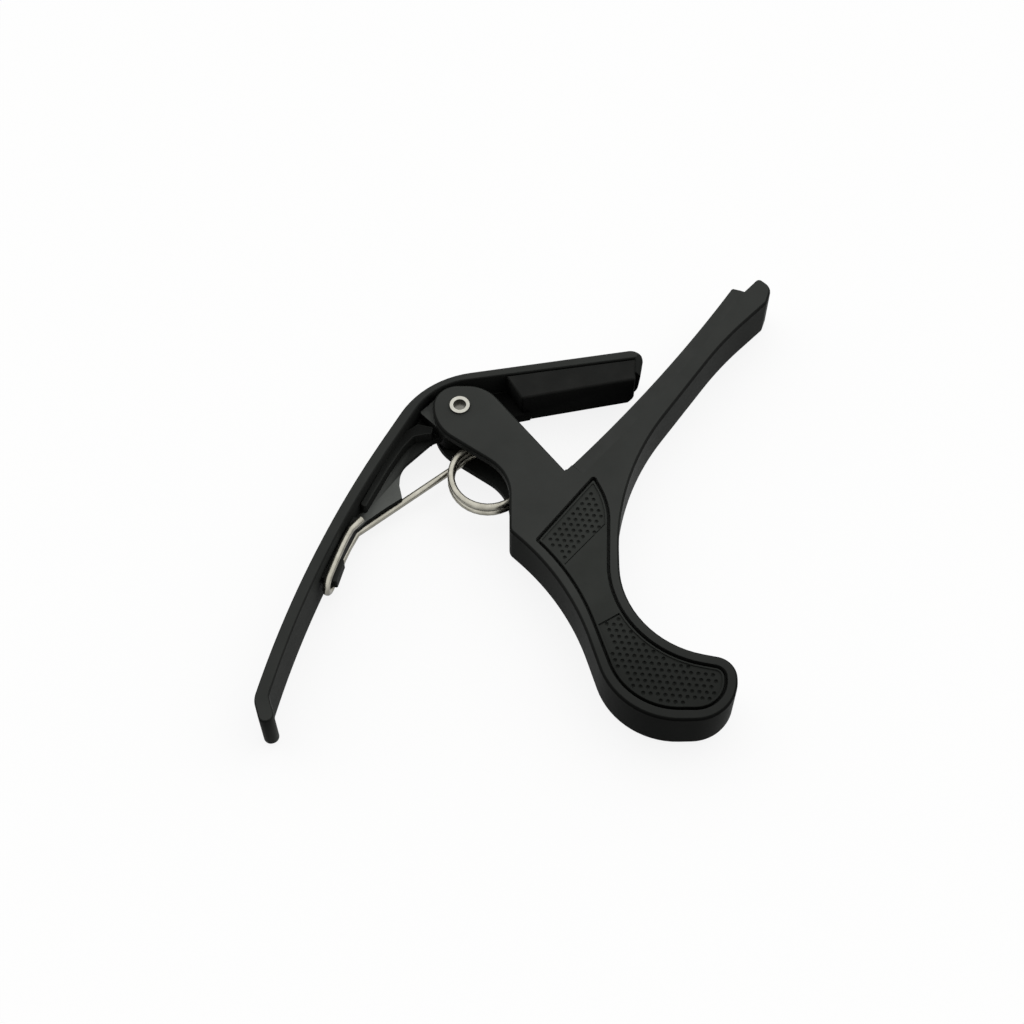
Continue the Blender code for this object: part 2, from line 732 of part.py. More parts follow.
def main():
    for old in list(bpy.data.objects):
        bpy.data.objects.remove(old, do_unlink=True)
    parts = bpy.data.collections.new(OBJECT_NAME)
    cutters = bpy.data.collections.new(OBJECT_NAME + "_cutters")
    bpy.context.scene.collection.children.link(parts)
    bpy.context.scene.collection.children.link(cutters)

    paint = material("black_satin_paint", (0.020, 0.021, 0.020), 0.42, 0.0)
    arm_paint = material("black_satin_paint_arm", (0.020, 0.021, 0.020), 0.40, 0.0)
    rubber = material("black_rubber", (0.010, 0.010, 0.010), 0.65, 0.0)
    neck_rubber = material("black_neck_rubber", (0.008, 0.008, 0.008), 0.55, 0.0)
    grip = material("black_grip", (0.018, 0.019, 0.018), 0.55, 0.0)
    rear_grip = material("black_rear_grip", (0.018, 0.019, 0.018), 0.55, 0.0)
    nickel = material("nickel_wire", (0.56, 0.53, 0.47), 0.28, 1.0)
    bright = material("bright_rivet", (0.72, 0.69, 0.62), 0.22, 1.0)

    frame = bpy.data.objects.new("capo_frame", None)
    pivot = bpy.data.objects.new("jaw_pivot_axis", None)
    parts.objects.link(frame)
    parts.objects.link(pivot)
    pivot.parent = frame

    front_low = DEPTH - RECESS_DEPTH + SEAT_GAP
    rear_low = RECESS_DEPTH - SEAT_GAP - INLAY_THICKNESS
    finish(build_lever(parts, cutters), frame, paint)
    finish(build_string_pad(parts), frame, rubber)
    finish(build_inlay("front_grip_inlay", front_low, parts), frame, grip)
    finish(build_inlay("rear_grip_inlay", rear_low, parts), frame, rear_grip)
    finish(build_rivet(parts), frame, bright)
    finish(build_spring(parts), frame, nickel)
    finish(build_arm(parts, cutters), pivot, arm_paint)
    finish(build_neck_pad(parts), pivot, neck_rubber)
    for cutter in cutters.objects:
        cutter.parent = frame
    centre_on_table(frame, parts)


main()
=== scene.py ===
import json
import math

import bmesh
import bpy
from mathutils import Matrix, Vector


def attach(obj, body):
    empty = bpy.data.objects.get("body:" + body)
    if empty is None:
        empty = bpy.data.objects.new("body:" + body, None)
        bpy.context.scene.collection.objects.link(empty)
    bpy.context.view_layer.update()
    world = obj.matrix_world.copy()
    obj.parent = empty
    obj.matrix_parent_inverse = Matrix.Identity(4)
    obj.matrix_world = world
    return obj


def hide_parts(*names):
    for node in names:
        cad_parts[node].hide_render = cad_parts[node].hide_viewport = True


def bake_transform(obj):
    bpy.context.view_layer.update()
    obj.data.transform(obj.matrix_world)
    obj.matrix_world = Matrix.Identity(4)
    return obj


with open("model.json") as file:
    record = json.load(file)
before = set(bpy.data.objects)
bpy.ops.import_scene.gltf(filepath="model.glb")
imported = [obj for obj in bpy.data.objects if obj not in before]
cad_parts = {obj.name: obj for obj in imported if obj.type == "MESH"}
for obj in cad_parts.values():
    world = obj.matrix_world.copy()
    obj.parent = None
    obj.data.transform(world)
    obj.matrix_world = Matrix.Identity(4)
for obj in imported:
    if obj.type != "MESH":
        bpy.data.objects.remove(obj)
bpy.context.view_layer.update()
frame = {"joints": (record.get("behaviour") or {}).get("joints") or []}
rivetSpot = Vector(frame["joints"][0]["pos_m"])  # every outline below is in mm about the rivet's axis
toWorld = Vector((rivetSpot.x, rivetSpot.y, 0.0))
mm = 0.001
depth = 10.0
arcTurn = math.radians(5)
arcRun = 1.6
roundSteps = 48
toolReach = 90.0  # how far a cutting block goes past the piece
print("frame loaded, rivet at", [round(v / mm, 2) for v in toWorld])


# Shared shaping steps

def traceOutline(bm, corners, z):  # corners are x, y and the round of that corner
    known = set(bm.edges)
    spots = [Vector((x, y, z)) for x, y, _ in corners]
    firstVert = None
    lastVert = None
    runs = []
    for i in range(len(spots)):
        back = (spots[i - 1] - spots[i]).normalized()
        ahead = (spots[(i + 1) % len(spots)] - spots[i]).normalized()
        runs.append((back, ahead, math.pi - back.angle(ahead)))
    needs = [corner[2] * math.tan(run[2] / 2) for corner, run in zip(corners, runs)]
    for i, corner in enumerate(corners):
        back, ahead, turn = runs[i]
        after = (i + 1) % len(spots)
        fit = min(1.0, (spots[i - 1] - spots[i]).length / max(needs[i - 1] + needs[i], 1e-9),
                  (spots[after] - spots[i]).length / max(needs[after] + needs[i], 1e-9))
        rounding = corner[2] * fit
        startVert = bm.verts.new(spots[i] + back * (rounding * math.tan(turn / 2)))
        endVert = startVert
        if rounding > 0:
            centre = spots[i] + (back + ahead).normalized() * (rounding / math.cos(turn / 2))
            steps = max(2, math.ceil(turn / arcTurn), math.ceil(turn * rounding / arcRun))
            sweep = math.copysign(turn, ahead.cross(back).z)
            spun = bmesh.ops.spin(bm, geom=[startVert], cent=centre, axis=(0, 0, 1), angle=sweep,
                                  steps=steps, use_duplicate=False)
            endVert = [g for g in spun["geom_last"] if isinstance(g, bmesh.types.BMVert)][0]
        if lastVert is None:
            firstVert = startVert
        else:
            bm.edges.new((lastVert, startVert))
        lastVert = endVert
    bm.edges.new((lastVert, firstVert))
    lines = [edge for edge in bm.edges if edge not in known]
    return bmesh.ops.contextual_create(bm, geom=lines)["faces"][0]


def raiseFace(bm, face, rise):  # pulls a face up and leaves a closed block
    attached = any(len(edge.link_faces) > 1 for edge in face.edges)
    pulled = bmesh.ops.extrude_face_region(bm, geom=[face])["geom"]
    if attached and face.is_valid:
        bmesh.ops.delete(bm, geom=[face], context="FACES_ONLY")
    verts = [g for g in pulled if isinstance(g, bmesh.types.BMVert)]
    bmesh.ops.translate(bm, verts=verts, vec=(0, 0, rise))
    openEdges = [edge for edge in bm.edges if edge.is_boundary]
    if openEdges:
        bmesh.ops.holes_fill(bm, edges=openEdges)
    bmesh.ops.recalc_face_normals(bm, faces=bm.faces)
    return [g for g in pulled if isinstance(g, bmesh.types.BMFace)][0]


def flatEdges(bm):
    return [e for e in bm.edges if abs(e.verts[0].co.z - e.verts[1].co.z) < 1e-5]


def roundEdges(bm, edges, size, segments):
    bmesh.ops.bevel(bm, geom=edges, offset=size, offset_type="OFFSET", segments=segments, profile=0.5,
                    affect="EDGES", clamp_overlap=False, material=-1)


def slabMesh(corners, low, high, rim=0.0, segments=4, keepSharp=None):
    bm = bmesh.new()
    raiseFace(bm, traceOutline(bm, corners, low), high - low)
    if rim > 0:
        edges = [e for e in flatEdges(bm) if keepSharp is None or not keepSharp(e)]
        roundEdges(bm, edges, rim, segments)
    return bm


def makeObject(name, bm):  # from mm about the rivet to metres in the frame
    bmesh.ops.remove_doubles(bm, verts=bm.verts, dist=0.0005)
    bmesh.ops.scale(bm, vec=(mm, mm, mm), verts=bm.verts)
    bmesh.ops.translate(bm, vec=toWorld, verts=bm.verts)
    mesh = bpy.data.meshes.new(name)
    bm.to_mesh(mesh)
    bm.free()
    made = bpy.data.objects.new(name, mesh)
    bpy.context.scene.collection.objects.link(made)
    return made


def settleModifiers(body):
    bpy.context.view_layer.update()
    graph = bpy.context.evaluated_depsgraph_get()
    shaped = bpy.data.meshes.new_from_object(body.evaluated_get(graph))
    body.modifiers.clear()
    old = body.data
    body.data = shaped
    shaped.name = body.name
    bpy.data.meshes.remove(old)


def carve(body, tool, how="DIFFERENCE", selfTest=False):
    step = body.modifiers.new(how, "BOOLEAN")
    step.operation = how
    step.solver = "EXACT"
    step.use_self = selfTest
    step.object = tool
    settleModifiers(body)
    bpy.data.objects.remove(tool)


def markShade(piece, shadeOf):  # painted shade and light: how far each corner of a face is painted darker (or lighter) than the plain finish
    marks = piece.data.attributes.new("shade", "FLOAT", "CORNER")
    for face in piece.data.polygons:
        for corner in face.loop_indices:
            vert = piece.data.vertices[piece.data.loops[corner].vertex_index]
            marks.data[corner].value = shadeOf(face, (vert.co - toWorld) / mm, vert.normal)


def isSlanted(face):
    return 0.12 < abs(face.normal.z) < 0.93


def isLevel(z, level):
    return abs(z - level) < 0.05


def rimShade(face, reach):  # painted shade: the rounded edges of a casting are painted darker than its faces
    return 1.0 if isSlanted(face) and not reach < face.center.z / mm < depth - reach else 0.0


def finishPiece(piece, finish, body, node, smooth=38):
    piece.data.materials.clear()
    piece.data.materials.append(finish)
    piece.data.shade_smooth()
    piece.data.set_sharp_from_angle(angle=math.radians(smooth))
    even = piece.modifiers.new("evenShading", "WEIGHTED_NORMAL")
    even.keep_sharp = True
    if body:
        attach(piece, body)
    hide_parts(node)
    print(piece.name, len(piece.data.polygons), "faces")


def insideOutline(x, y, loop):
    inside = False
    for i, here in enumerate(loop):
        before = loop[i - 1]
        if (here.y > y) != (before.y > y):
            if x < (before.x - here.x) * (y - here.y) / (before.y - here.y) + here.x:
                inside = not inside
    return inside


# Finishes

finishRange = {
    "noise": (0.3, 0.7),  # the part of a noise that colour and sheen span
    "shadeStep": -0.58,
    "paintedFootShadeSpan": (-0.0445, -0.0190),  # painted shade towards the trigger's foot: from the trigger's foot up, in m along Y
}


def nodeOf(tree, kind, **values):
    made = tree.nodes.new(kind)
    for name, value in values.items():
        if name in made.inputs.keys():
            made.inputs[name].default_value = value
        else:
            setattr(made, name, value)
    return made


def rangeNode(tree, span, low, high, easing="SMOOTHSTEP"):
    made = nodeOf(tree, "ShaderNodeMapRange", interpolation_type=easing)
    for socket, value in zip(("From Min", "From Max", "To Min", "To Max"), (*span, low, high)):
        made.inputs[socket].default_value = value
    return made


def speckledFinish(name, look):
    made = bpy.data.materials.new(name)
    made.use_nodes = True
    tree = made.node_tree
    shader = tree.nodes["Principled BSDF"]
    shader.inputs["Metallic"].default_value = look["metallic"]
    shader.inputs["Specular IOR Level"].default_value = look["specular"]
    place = nodeOf(tree, "ShaderNodeTexCoord")
    split = nodeOf(tree, "ShaderNodeSeparateXYZ")
    mottle = nodeOf(tree, "ShaderNodeTexNoise", Scale=look["mottleScale"], Detail=4.0, Roughness=0.6)
    grain = nodeOf(tree, "ShaderNodeTexNoise", Scale=look["grainScale"], Detail=3.0, Roughness=0.55)
    tone = nodeOf(tree, "ShaderNodeValToRGB")
    colours = (look["dark"], look["light"])
    for stop, spot, colour in zip(tone.color_ramp.elements, finishRange["noise"], colours):
        stop.position = spot
        stop.color = (*colour, 1.0)
    sheen = rangeNode(tree, finishRange["noise"], *look["rough"], "LINEAR")
    relief = nodeOf(tree, "ShaderNodeBump", Strength=look["bump"], Distance=look["bumpDepth"])
    # painted shade and light: the shade attribute darkens (positive) or lightens (negative) the base colour
    marks = nodeOf(tree, "ShaderNodeAttribute", attribute_name="shade")
    share = nodeOf(tree, "ShaderNodeMath", operation="MULTIPLY_ADD")
    share.inputs[1].default_value = finishRange["shadeStep"]
    share.inputs[2].default_value = 1.0
    paintedFootShade = rangeNode(tree, finishRange["paintedFootShadeSpan"], look["paintedFootShade"], 1.0)  # painted shade, darker towards the foot
    both = nodeOf(tree, "ShaderNodeMath", operation="MULTIPLY")
    shaded = nodeOf(tree, "ShaderNodeVectorMath", operation="SCALE")
    tree.links.new(place.outputs["Object"], mottle.inputs["Vector"])
    tree.links.new(place.outputs["Object"], grain.inputs["Vector"])
    tree.links.new(place.outputs["Object"], split.inputs["Vector"])
    tree.links.new(mottle.outputs["Fac"], tone.inputs["Fac"])
    tree.links.new(split.outputs["Y"], paintedFootShade.inputs["Value"])
    tree.links.new(marks.outputs["Fac"], share.inputs[0])
    tree.links.new(share.outputs["Value"], both.inputs[0])
    tree.links.new(paintedFootShade.outputs["Result"], both.inputs[1])
    tree.links.new(tone.outputs["Color"], shaded.inputs["Vector"])
    tree.links.new(both.outputs["Value"], shaded.inputs["Scale"])
    tree.links.new(shaded.outputs["Vector"], shader.inputs["Base Color"])
    tree.links.new(grain.outputs["Fac"], sheen.inputs["Value"])
    tree.links.new(sheen.outputs["Result"], shader.inputs["Roughness"])
    tree.links.new(grain.outputs["Fac"], relief.inputs["Height"])
    tree.links.new(relief.outputs["Normal"], shader.inputs["Normal"])
    return made


# castPaint and gripSkin carry painted shade towards the trigger's foot (0.60); the other finishes carry none
# (1.0)
castPaint = speckledFinish("cast_satin_paint", {
    "dark": (0.0365, 0.0382, 0.0362), "light": (0.0430, 0.0449, 0.0425), "mottleScale": 90.0,
    "metallic": 0.0, "specular": 0.005, "rough": (0.40, 0.52), "paintedFootShade": 0.60,
    "grainScale": 3600.0, "bump": 0.22, "bumpDepth": 0.00003})
armPaint = speckledFinish("arm_satin_paint", {
    "dark": (0.0310, 0.0325, 0.0308), "light": (0.0375, 0.0392, 0.0370), "mottleScale": 90.0,
    "metallic": 0.0, "specular": 0.005, "rough": (0.40, 0.52), "paintedFootShade": 1.0,
    "grainScale": 3600.0, "bump": 0.22, "bumpDepth": 0.00003})
padRubber = speckledFinish("string_pad_rubber", {
    "dark": (0.0365, 0.0380, 0.0362), "light": (0.0430, 0.0447, 0.0425), "mottleScale": 220.0,
    "metallic": 0.0, "specular": 0.005, "rough": (0.50, 0.64), "paintedFootShade": 1.0,
    "grainScale": 5200.0, "bump": 0.25, "bumpDepth": 0.00003})
jawRubber = speckledFinish("neck_pad_rubber", {
    "dark": (0.0150, 0.0155, 0.0148), "light": (0.0200, 0.0205, 0.0195), "mottleScale": 220.0,
    "metallic": 0.0, "specular": 0.005, "rough": (0.50, 0.66), "paintedFootShade": 1.0,
    "grainScale": 5200.0, "bump": 0.25, "bumpDepth": 0.00003})
gripSkin = speckledFinish("grip_panel_skin", {
    "dark": (0.0310, 0.0330, 0.0306), "light": (0.0365, 0.0387, 0.0360), "mottleScale": 160.0,
    "metallic": 0.0, "specular": 0.005, "rough": (0.48, 0.60), "paintedFootShade": 0.60,
    "grainScale": 4200.0, "bump": 0.30, "bumpDepth": 0.00004})
nickelWire = speckledFinish("drawn_nickel_wire", {
    "dark": (0.37, 0.355, 0.295), "light": (0.56, 0.54, 0.465), "mottleScale": 420.0,
    "metallic": 1.0, "specular": 0.5, "rough": (0.24, 0.36), "paintedFootShade": 1.0,
    "grainScale": 900.0, "bump": 0.02, "bumpDepth": 0.00002})
rivetNickel = speckledFinish("bright_rivet_nickel", {
    "dark": (0.62, 0.605, 0.53), "light": (0.73, 0.72, 0.65), "mottleScale": 700.0,
    "metallic": 1.0, "specular": 0.5, "rough": (0.22, 0.32), "paintedFootShade": 1.0,
    "grainScale": 1200.0, "bump": 0.02, "bumpDepth": 0.00002})
print("finishes ready")


# Grip panels and the recess they lie in

gripPanel = {
    "corners": [(26.1, -16.1, 0.6), (29.0, -22.6, 16.0), (28.0, -52.85, 20.4), (49.1, -57.15, 2.3),
                (49.1, -65.6, 6.1), (30.7, -65.6, 13.1), (21.85, -38.3, 48.0), (14.69, -30.6, 0.6)],
    "recessFloor": 1.4,
    "mouthSteps": [(0.08, 0.03), (0.05, 0.05), (0.03, 0.08)],
    "clear": 1.0,  # how far its cutting blocks stand past it
    "groove": 0.56,
    "thickness": 1.25,
    "proud": -0.08,
    "rim": 0.16,
    "border": 0.34,
    "zoneSink": 0.20,
    "endGroove": (0.02, 0.26, 0.42),
    "dimpleRadius": 0.45,
    "dimpleSink": 0.36,
    "rowPitch": 1.12,
    "dotPitch": 1.42,
    "rowTurn": 51.8,
    "rows": 40,  # tried each way from the upper line's start
    "margin": 0.49,
    "upperLine": ((20.6, -35.5), (26.8, -28.5)),
    "lowerLine": ((26.0, -48.5), (29.3, -46.5)),
}


def drawIn(corners, inset):  # the same outline a distance further in
    spots = [Vector((x, y)) for x, y, _ in corners]
    area = sum(spots[i - 1].cross(spots[i]) for i in range(len(spots)))
    hand = math.copysign(1.0, area)
    drawn = []
    for i, spot in enumerate(spots):
        before = (spot - spots[i - 1]).normalized()
        after = (spots[(i + 1) % len(spots)] - spot).normalized()
        inward = Vector((-before.y - after.y, before.x + after.x)) * (hand * inset / (1 + before.dot(after)))
        outerCorner = before.cross(after) * hand > 0
        rounding = max(0.25, corners[i][2] - inset) if outerCorner else corners[i][2] + inset
        drawn.append((*(spot + inward), rounding))
    return drawn


def panelLayer(inset, low, high):  # the recess outline drawn in and raised
    bm = bmesh.new()
    face = traceOutline(bm, drawIn(gripPanel["corners"], inset), low)
    loop = [v.co.copy() for v in face.verts]
    raiseFace(bm, face, high - low)
    return bm, loop


def beyond(spot, line):  # distance to the upper left side of a line that runs up to the right
    start = Vector((*line[0], 0.0))
    run = (Vector((*line[1], 0.0)) - start).normalized()
    return run.cross(spot - start).z


def endBlock(line, side, near, far):  # a band on one side of a zone's end line
    start = Vector(line[0])
    run = (Vector(line[1]) - start).normalized() * (toolReach * side)
    out = Vector((-run.y, run.x)).normalized()
    ends = [start - run, start + run]
    corners = [end + out * near for end in ends] + [end + out * far for end in reversed(ends)]
    clear = gripPanel["clear"]
    return slabMesh([(c.x, c.y, 0.0) for c in corners], -clear, gripPanel["thickness"] + 2 * clear)


def dimpleSpots(loop):
    turn = math.radians(gripPanel["rowTurn"])
    along = Vector((math.cos(turn), math.sin(turn), 0.0))
    across = Vector((-math.sin(turn), math.cos(turn), 0.0))
    origin = Vector((*gripPanel["upperLine"][0], 0.0))
    margin = gripPanel["margin"]
    around = [(0, 0), (margin, 0), (-margin, 0), (0, margin), (0, -margin)]
    tries = range(-gripPanel["rows"], gripPanel["rows"] + 1)
    spots = []
    for row in tries:
        for dot in tries:
            stagger = 0.5 if row % 2 else 0.0
            spot = origin + across * (row * gripPanel["rowPitch"])
            spot += along * ((dot + stagger) * gripPanel["dotPitch"])
            if not all(insideOutline(spot.x + dx, spot.y + dy, loop) for dx, dy in around):
                continue
            inUpper = beyond(spot, gripPanel["upperLine"]) > margin
            inLower = beyond(spot, gripPanel["lowerLine"]) < -margin
            if inUpper or inLower:
                spots.append(spot)
    return spots


def seatPanel(name, work):  # lifts a panel layer into the front face
    lift = depth + gripPanel["proud"] - gripPanel["thickness"]
    bmesh.ops.translate(work, verts=work.verts, vec=(0, 0, lift))
    return makeObject(name, work)


def gripPiece(name):
    top = gripPanel["thickness"]
    floor = top - gripPanel["zoneSink"]
    blank, _ = panelLayer(gripPanel["groove"], 0.0, top)
    roundEdges(blank, [e for e in flatEdges(blank) if e.verts[0].co.z > top / 2], gripPanel["rim"], 3)
    piece = seatPanel(name, blank)
    for line, side in ((gripPanel["upperLine"], 1), (gripPanel["lowerLine"], -1)):
        for near, far, sink in ((0.0, toolReach, gripPanel["zoneSink"]), gripPanel["endGroove"]):
            inset = gripPanel["groove"] + gripPanel["border"] + near
            sunk, loop = panelLayer(inset, top - sink, top + gripPanel["clear"])
            zone = seatPanel("zone", sunk)
            carve(zone, seatPanel("zoneEnd", endBlock(line, side, near, far)), "INTERSECT")
            carve(piece, zone)
    spots = dimpleSpots(loop)
    pits = bmesh.new()
    for spot in spots:
        made = bmesh.ops.create_uvsphere(pits, u_segments=8, v_segments=6, radius=gripPanel["dimpleRadius"])
        lift = floor + gripPanel["dimpleRadius"] - gripPanel["dimpleSink"]
        bmesh.ops.translate(pits, verts=made["verts"], vec=(spot.x, spot.y, lift))
    carve(piece, seatPanel("pits", pits))
    print(name, len(spots), "dimples")
    return piece


def turnedOver(piece, name):  # the same panel for the rear face
    turned = bpy.data.objects.new(name, piece.data.copy())
    turned.data.transform(Matrix.Translation((0, 0, depth * mm)) @ Matrix.Diagonal((1, 1, -1, 1)))
    turned.data.flip_normals()
    bpy.context.scene.collection.objects.link(turned)
    return turned


frontPanel = gripPiece("front_grip_panel")
rearPanel = turnedOver(frontPanel, "rear_grip_panel")
finishPiece(frontPanel, gripSkin, "lever", "front_grip_inlay")
finishPiece(rearPanel, gripSkin, "lever", "rear_grip_inlay")


# Cast lever with fork, fret bar and finger trigger

lever = {
    "corners": [(-5.3, 4.95, 4.9), (5.0, 4.95, 7.5), (20.7, -15.2, 0.5), (21.85, -13.95, 0.0),
                (23.99, -15.9, 0.0), (42.70, 4.85, 340.0), (57.75, 28.05, 0.0), (61.15, 31.95, 0.9),
                (63.75, 29.45, 2.6), (62.40, 25.50, 1.3), (53.09, 15.94, 80.0), (30.45, -16.3, 54.0),
                (30.35, -51.3, 18.5), (51.0, -55.6, 4.2), (51.0, -67.4, 8.2), (29.3, -67.9, 15.0),
                (20.6, -39.2, 50.0), (9.8, -28.4, 2.0), (9.8, -15.5, 9.4), (-5.3, -4.7, 9.0)],
    "rim": 0.60,
    "cheek": 1.9,
    "slot": [(-18.0, 14.9, 0.0), (6.9, 14.9, 0.0), (6.9, -2.52, 1.0), (13.55, -11.03, 2.0),
             (13.55, -26.6, 0.0), (11.65, -26.6, 0.0), (11.65, -21.85, 0.0), (-18.0, -21.85, 0.0)],
    "boreRadius": 1.75,
    "rearPocket": (2.6, 1.1),
    "seat": ((23.99, -15.9), (57.75, 28.05)),
    "seatBow": 1.10,
    "seatEnds": (-0.04, 1.01),  # shares of the seat's run, and mm off it, where its edge stays crisp
    "seatBand": (-0.6, 3.2),
}


def alongSeat(spot):  # how far along the pad's curved seat a point lies, and how far off it
    start = Vector(lever["seat"][0])
    run = Vector(lever["seat"][1]) - start
    share = (spot.xy - start).dot(run) / run.length_squared
    bow = 4 * lever["seatBow"] * share * (1 - share)
    return share, run.normalized().cross(spot.xy - start) + bow


def besidePad(edge):  # the seat of the string pad keeps a crisp edge
    start, end = lever["seatEnds"]
    low, high = lever["seatBand"]
    places = [alongSeat(vert.co) for vert in edge.verts]
    return all(start < share < end and low < off < high for share, off in places)


def drumTool(name, radius, low, high):
    bm = bmesh.new()
    bmesh.ops.create_cone(bm, cap_ends=True, segments=roundSteps, radius1=radius, radius2=radius,
                          depth=high - low)
    bmesh.ops.translate(bm, verts=bm.verts, vec=(0, 0, (low + high) / 2))
    return makeObject(name, bm)


def spreadFace(face, distance):  # moves a face's rim outwards in its own plane
    spots = [loop.vert.co.copy() for loop in face.loops]
    for i, loop in enumerate(face.loops):
        before = (spots[i] - spots[i - 1]).normalized().cross(face.normal)
        after = (spots[(i + 1) % len(spots)] - spots[i]).normalized().cross(face.normal)
        loop.vert.co += (before + after) * (distance / (1 + before.dot(after)))


def mouthTool(name, front):  # panel recess with a softened mouth
    bm = bmesh.new()
    lip = sum(step[1] for step in gripPanel["mouthSteps"])
    top = raiseFace(bm, traceOutline(bm, gripPanel["corners"], 0.0), gripPanel["recessFloor"] - lip)
    for spread, rise in reversed(gripPanel["mouthSteps"]):
        top = raiseFace(bm, top, rise)
        top.normal_update()
        spreadFace(top, spread)
    raiseFace(bm, top, gripPanel["clear"])
    if not front:
        bmesh.ops.scale(bm, verts=bm.verts, vec=(1, 1, -1))
        bmesh.ops.reverse_faces(bm, faces=bm.faces)
    shift = depth - gripPanel["recessFloor"] if front else gripPanel["recessFloor"]
    bmesh.ops.translate(bm, verts=bm.verts, vec=(0, 0, shift))
    return makeObject(name, bm)


leverPiece = makeObject("lever_casting", slabMesh(lever["corners"], 0.0, depth, lever["rim"], 5, besidePad))
carve(leverPiece, makeObject("slot", slabMesh(lever["slot"], lever["cheek"], depth - lever["cheek"])))
carve(leverPiece, mouthTool("frontRecess", True))
carve(leverPiece, mouthTool("rearRecess", False))
carve(leverPiece, drumTool("bore", lever["boreRadius"], -depth, 2 * depth))
carve(leverPiece, drumTool("pocket", lever["rearPocket"][0], -depth, lever["rearPocket"][1]))
# painted shade on the lever's rounded edges
markShade(leverPiece, lambda face, spot, normal: rimShade(face, lever["rim"]))
finishPiece(leverPiece, castPaint, "lever", "trigger_lever")


# Rubber on the fret bar

stringPad = {
    "corners": [(21.90, -13.88, 0.0), (40.56, 6.52, 370.0), (55.55, 29.22, 0.7), (58.40, 28.03, 0.0),
                (42.78, 4.77, 340.0), (24.06, -15.96, 0.0)],
    "inset": 0.01,
    "rim": 0.35,
    "faceOff": 1.4,
}


def awayFromFace(edge):  # only the pressing side is rounded
    return any(alongSeat(vert.co)[1] < stringPad["faceOff"] for vert in edge.verts)


padTop = depth - stringPad["inset"]
padMesh = slabMesh(stringPad["corners"], stringPad["inset"], padTop, stringPad["rim"], 3, awayFromFace)
padPiece = makeObject("string_pad_strip", padMesh)
finishPiece(padPiece, padRubber, "lever", "string_pad")


# Clamp arm with jaw plate, thumb strip, lug, flare, ridge and web

arm = {
    "spine": [(37.00, 13.95, 2.8), (-7.16, 6.5, 19.0), (-28.89, -33.68, 222.7), (-36.01, -63.52, 4.4),
              (-34.52, -68.30, 1.35), (-31.80, -67.40, 1.35), (-33.30, -62.90, 2.2), (-26.81, -34.48, 222.0),
              (-5.44, 5.05, 13.5), (34.95, 11.52, 0.0), (34.75, 8.00, 0.0), (36.00, 7.60, 0.0),
              (36.60, 10.60, 0.0)],
    "rim": 0.40,
    "endLean": -9.9,
    "endReach": 34.20,
    "endSlant": 0.8,
    "endSpare": 0.1,
    "endSides": (-40.0, 90.0),
    "endRounds": (6.2, 1.5),
    "lipLine": ((35.0, 11.5), (36.6, 14.1)),
    "lug": [(-7.9, -0.2, 0.4), (-3.6, 4.5, 0.0), (4.2, 4.1, 2.0), (6.2, 0.0, 2.7), (4.0, -5.2, 2.7),
            (-3.0, -5.2, 1.5)],
    "lugDepth": 5.6,
    "flare": [(0.0, 0.0, 0.0), (-3.0, -4.2, 0.0), (-5.6, -5.35, 0.0), (-11.65, -11.6, 5.0),
              (-11.75, -15.0, 0.0), (-11.05, -18.15, 0.2), (-14.0, -20.35, 0.0), (-17.7, -23.4, 0.0),
              (-19.2, -25.2, 0.0), (-22.4, -26.2, 0.0), (-19.9, -20.8, 220.0), (-13.16, -7.32, 0.0),
              (-6.3, 5.78, 17.5), (3.5, 7.35, 0.0)],
    "flareSpan": (3.8, 4.8),
    "web": [(-18.7, -23.6, 0.0), (-19.6, -25.5, 0.0), (-22.0, -31.6, 0.0), (-21.5, -33.1, 0.3),
            (-22.7, -37.5, 0.3), (-23.7, -37.3, 0.0), (-26.4, -36.4, 0.0), (-21.2, -23.3, 0.0)],
    "webSpan": (3.8, 6.2),
    "ridge": [(-5.2, -3.4, 0.0), (-8.3, -2.6, 0.5), (-10.5, -4.3, 1.5), (-12.5, -7.6, 0.0),
              (-15.0, -12.6, 0.0), (-18.9, -21.2, 0.5), (-17.9, -21.8, 0.5), (-13.8, -13.1, 0.0),
              (-11.15, -8.2, 0.0), (-9.0, -5.5, 1.5), (-5.6, -4.9, 0.0)],
    "ridgeSpan": (2.6, 7.4),
    "ridgeLine": ((-18.4, -21.5), (-9.9, -5.0)),
    "ridgeRim": 0.25,
    "saddle": [(-3.0, 5.9, 0.0), (10.2, 8.02, 0.0), (10.2, 5.4, 0.0), (6.0, 3.2, 0.0), (3.0, 0.0, 0.0),
               (-3.0, 0.0, 0.0)],
    "saddleSpan": (2.3, 4.3),
    "boreRadius": 1.75,
    "flareStart": -4.0,
    "flarePale": -13.0,
    "ridgeBend": -9.0,
    "stripSpan": (-28.0, 3.0),
    "stripSide": -5.0,
    "toeStart": -65.0,
    # painted shade (positive) and painted light (negative) on the clamp arm's faces
    "armPaintedShades": {"channel": 0.9, "flare": (0.4, -4.0), "ridge": (1.0, 0.6), "strip": 0.8, "lug": -2.5,
              "toe": (0.4, -2.4), "lip": 0.9, "rim": 0.7},
}
lugLow = (depth - arm["lugDepth"]) / 2


def tongueTool(name, draw):  # rounds the jaw's end as seen along its faces
    reach = arm["endReach"] - draw
    rear, front = arm["endRounds"]
    low, high = -arm["endSpare"], depth + arm["endSpare"]
    sides = [(-toolReach, low, 0.0), (reach - arm["endSlant"], low, rear), (reach, high, front),
             (-toolReach, high, 0.0)]
    bm = slabMesh(sides, *arm["endSides"])
    lean = Matrix.Rotation(math.radians(arm["endLean"]), 3, "Z") @ Matrix.Rotation(math.pi / 2, 3, "X")
    bmesh.ops.rotate(bm, cent=(0, 0, 0), matrix=lean, verts=bm.verts)
    return makeObject(name, bm)


